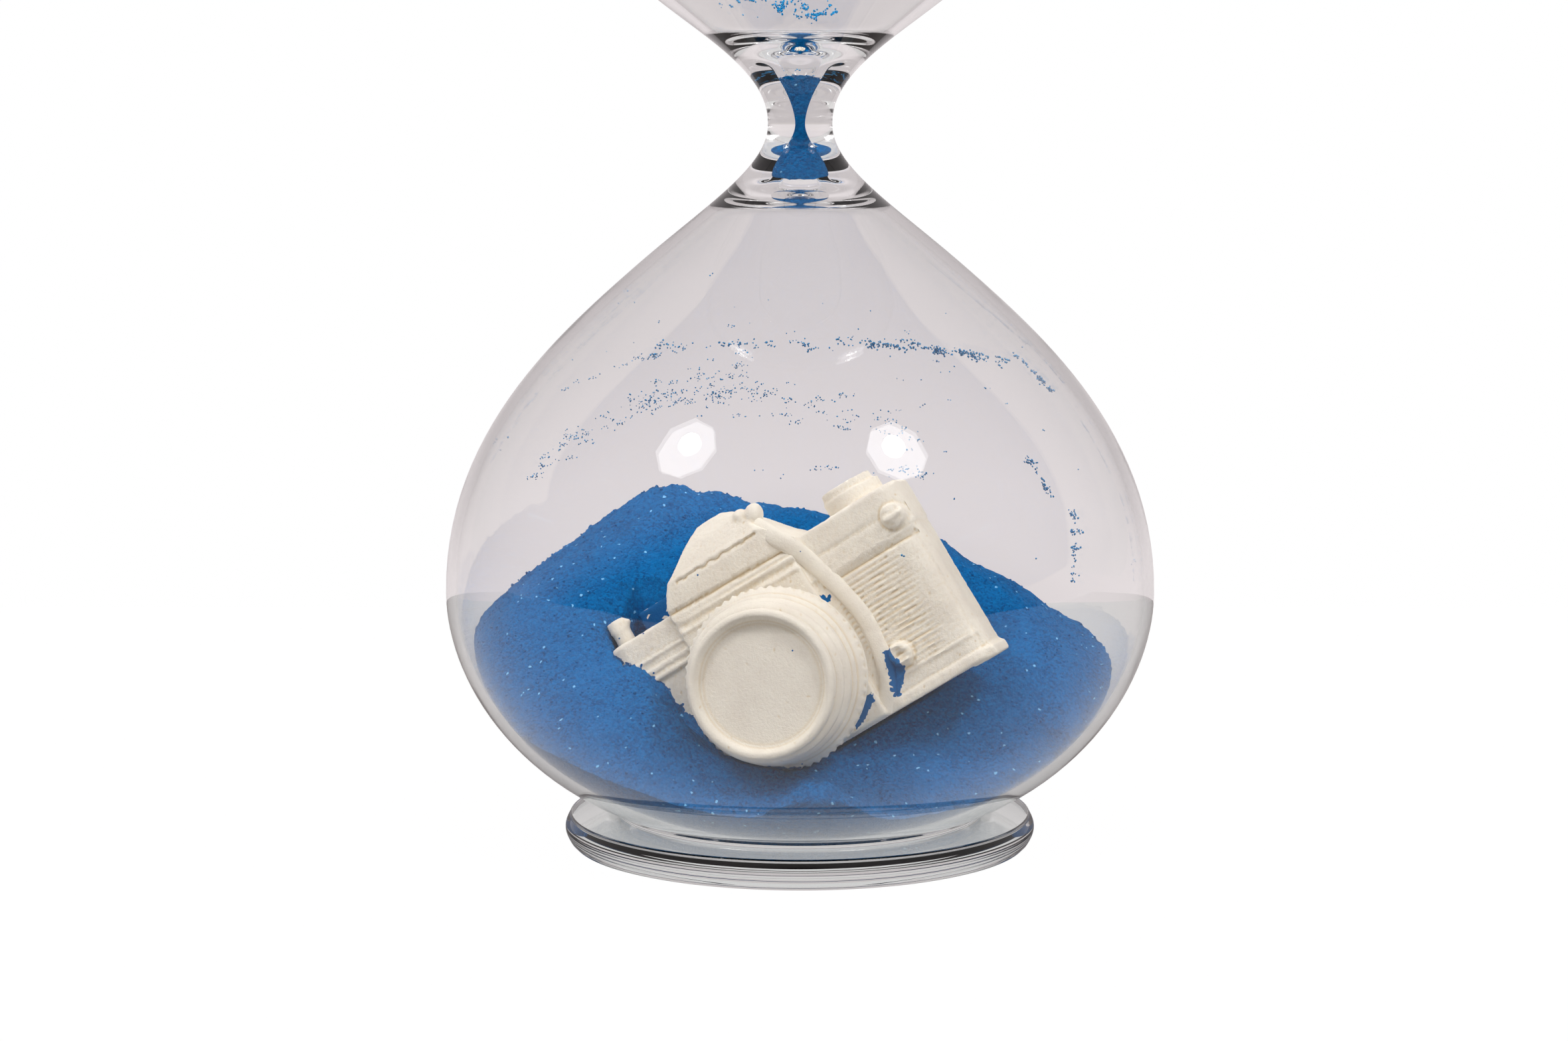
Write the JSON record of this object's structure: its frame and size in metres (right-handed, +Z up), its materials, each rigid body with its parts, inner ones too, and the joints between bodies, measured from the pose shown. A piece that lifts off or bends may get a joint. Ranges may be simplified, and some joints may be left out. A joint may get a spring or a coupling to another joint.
{
  "type": "hourglass",
  "caption": "Clear blown-glass hourglass on thick glass discs, with blue sand and a plaster cast of a small camera half buried in the lower bulb.",
  "frame": {"origin": "middle of the underside of the lower disc, on the surface that the hourglass stands on", "axes": "+Z up along the axis of the hourglass, -Y towards the side that the cast's lens faces, +X to the right from there"},
  "size_m": [0.25, 0.25, 0.508],
  "materials": {
    "bulb_glass": "clear hand-blown soda-lime glass, fire polished",
    "foot_glass": "clear thick cast glass disc, polished faces and rounded rim",
    "clear_bond": "clear cured adhesive",
    "blue_sand": "fine dyed blue quartz sand",
    "plaster": "matt cream casting plaster with pinholes and blue dust"
  },
  "bodies": {
    "glass_and_sand": {"lower_foot": "foot_glass", "lower_foot_bond": "clear_bond", "lower_bulb": "bulb_glass", "neck_seal": "clear_bond", "upper_bulb": "bulb_glass", "upper_foot_bond": "clear_bond", "upper_foot": "foot_glass", "sand_bed": "blue_sand", "throat_sand": "blue_sand"},
    "camera_cast": {"cast_body": "plaster", "cast_lens": "plaster", "cast_strap": "plaster"}
  },
  "joints": [
    {"name": "cast_lift", "type": "slide", "parent": "glass_and_sand", "child": "camera_cast", "axis": [0, 0, 1], "range_m": [0, 0.045]}
  ]
}
